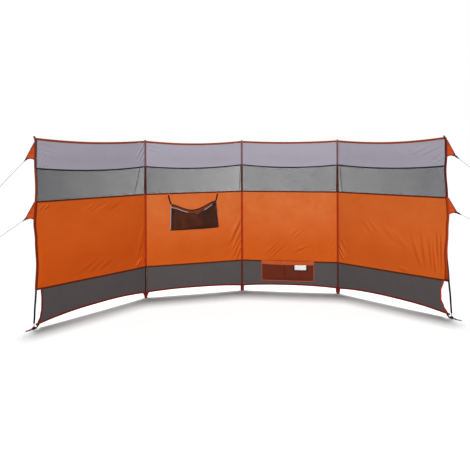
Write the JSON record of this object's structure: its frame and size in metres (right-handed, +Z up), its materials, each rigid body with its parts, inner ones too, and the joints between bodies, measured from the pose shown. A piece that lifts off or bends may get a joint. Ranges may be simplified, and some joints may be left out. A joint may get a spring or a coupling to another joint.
{
  "type": "beach windbreak",
  "caption": "Folding cloth windbreak on poles, set up in an arc: grey top band, see-through mesh window, orange panel and dark skirt, with pockets, guy lines and ground pegs.",
  "frame": {"origin": "centre of the centre pole's foot, on the ground", "axes": "+X to the right along the run of bays, seen from the sheltered side; -Y towards the sheltered side; +Z up"},
  "size_m": [7.2381, 2.5361, 1.68],
  "materials": {
    "pole": "black powder coat",
    "foot": "moulded, matte",
    "foot_webbing": "woven webbing",
    "sleeve": "plain weave",
    "grey_cloth": "plain weave, slight sheen",
    "window_mesh": "open knitted mesh",
    "orange_cloth": "plain weave, slight sheen",
    "skirt_cloth": "coated weave, matte",
    "binding": "ribbed tape",
    "seam_tape": "ribbed tape",
    "guy_webbing": "woven webbing",
    "guy_line": "braided cord",
    "runner": "moulded",
    "peg": "zinc plated",
    "pocket_mesh": "open knitted mesh",
    "label": "woven, blank"
  },
  "bodies": {
    "root": {"pole_1": "pole", "pole_2": "pole", "pole_3": "pole", "pole_4": "pole", "pole_5": "pole", "pole_feet": "foot", "inner_foot_webbing": "foot_webbing", "end_foot_straps": "foot_webbing", "sleeve_1": "sleeve", "sleeve_2": "sleeve", "sleeve_3": "sleeve", "sleeve_4": "sleeve", "sleeve_5": "sleeve", "top_band_1": "grey_cloth", "top_band_2": "grey_cloth", "top_band_3": "grey_cloth", "top_band_4": "grey_cloth", "mesh_window_1": "window_mesh", "mesh_window_2": "window_mesh", "mesh_window_3": "window_mesh", "mesh_window_4": "window_mesh", "main_panel_1": "orange_cloth", "main_panel_2": "orange_cloth", "main_panel_3": "orange_cloth", "main_panel_4": "orange_cloth", "end_guy_tabs": "orange_cloth", "skirt_1": "skirt_cloth", "skirt_2": "skirt_cloth", "skirt_3": "skirt_cloth", "skirt_4": "skirt_cloth", "top_binding": "binding", "hem_binding": "binding", "skirt_edge_binding": "binding", "skirt_pocket_band": "binding", "skirt_pocket_binding": "binding", "seam_tapes": "seam_tape", "guy_tab_webbing": "guy_webbing", "rear_guy_loops": "guy_webbing", "end_guy_lines": "guy_line", "rear_guy_lines": "guy_line", "line_runners": "runner", "guy_pegs": "peg", "hanging_pocket": "pocket_mesh", "pocket_straps": "pocket_mesh", "skirt_pocket": "pocket_mesh", "pocket_label": "label"}
  },
  "joints": []
}
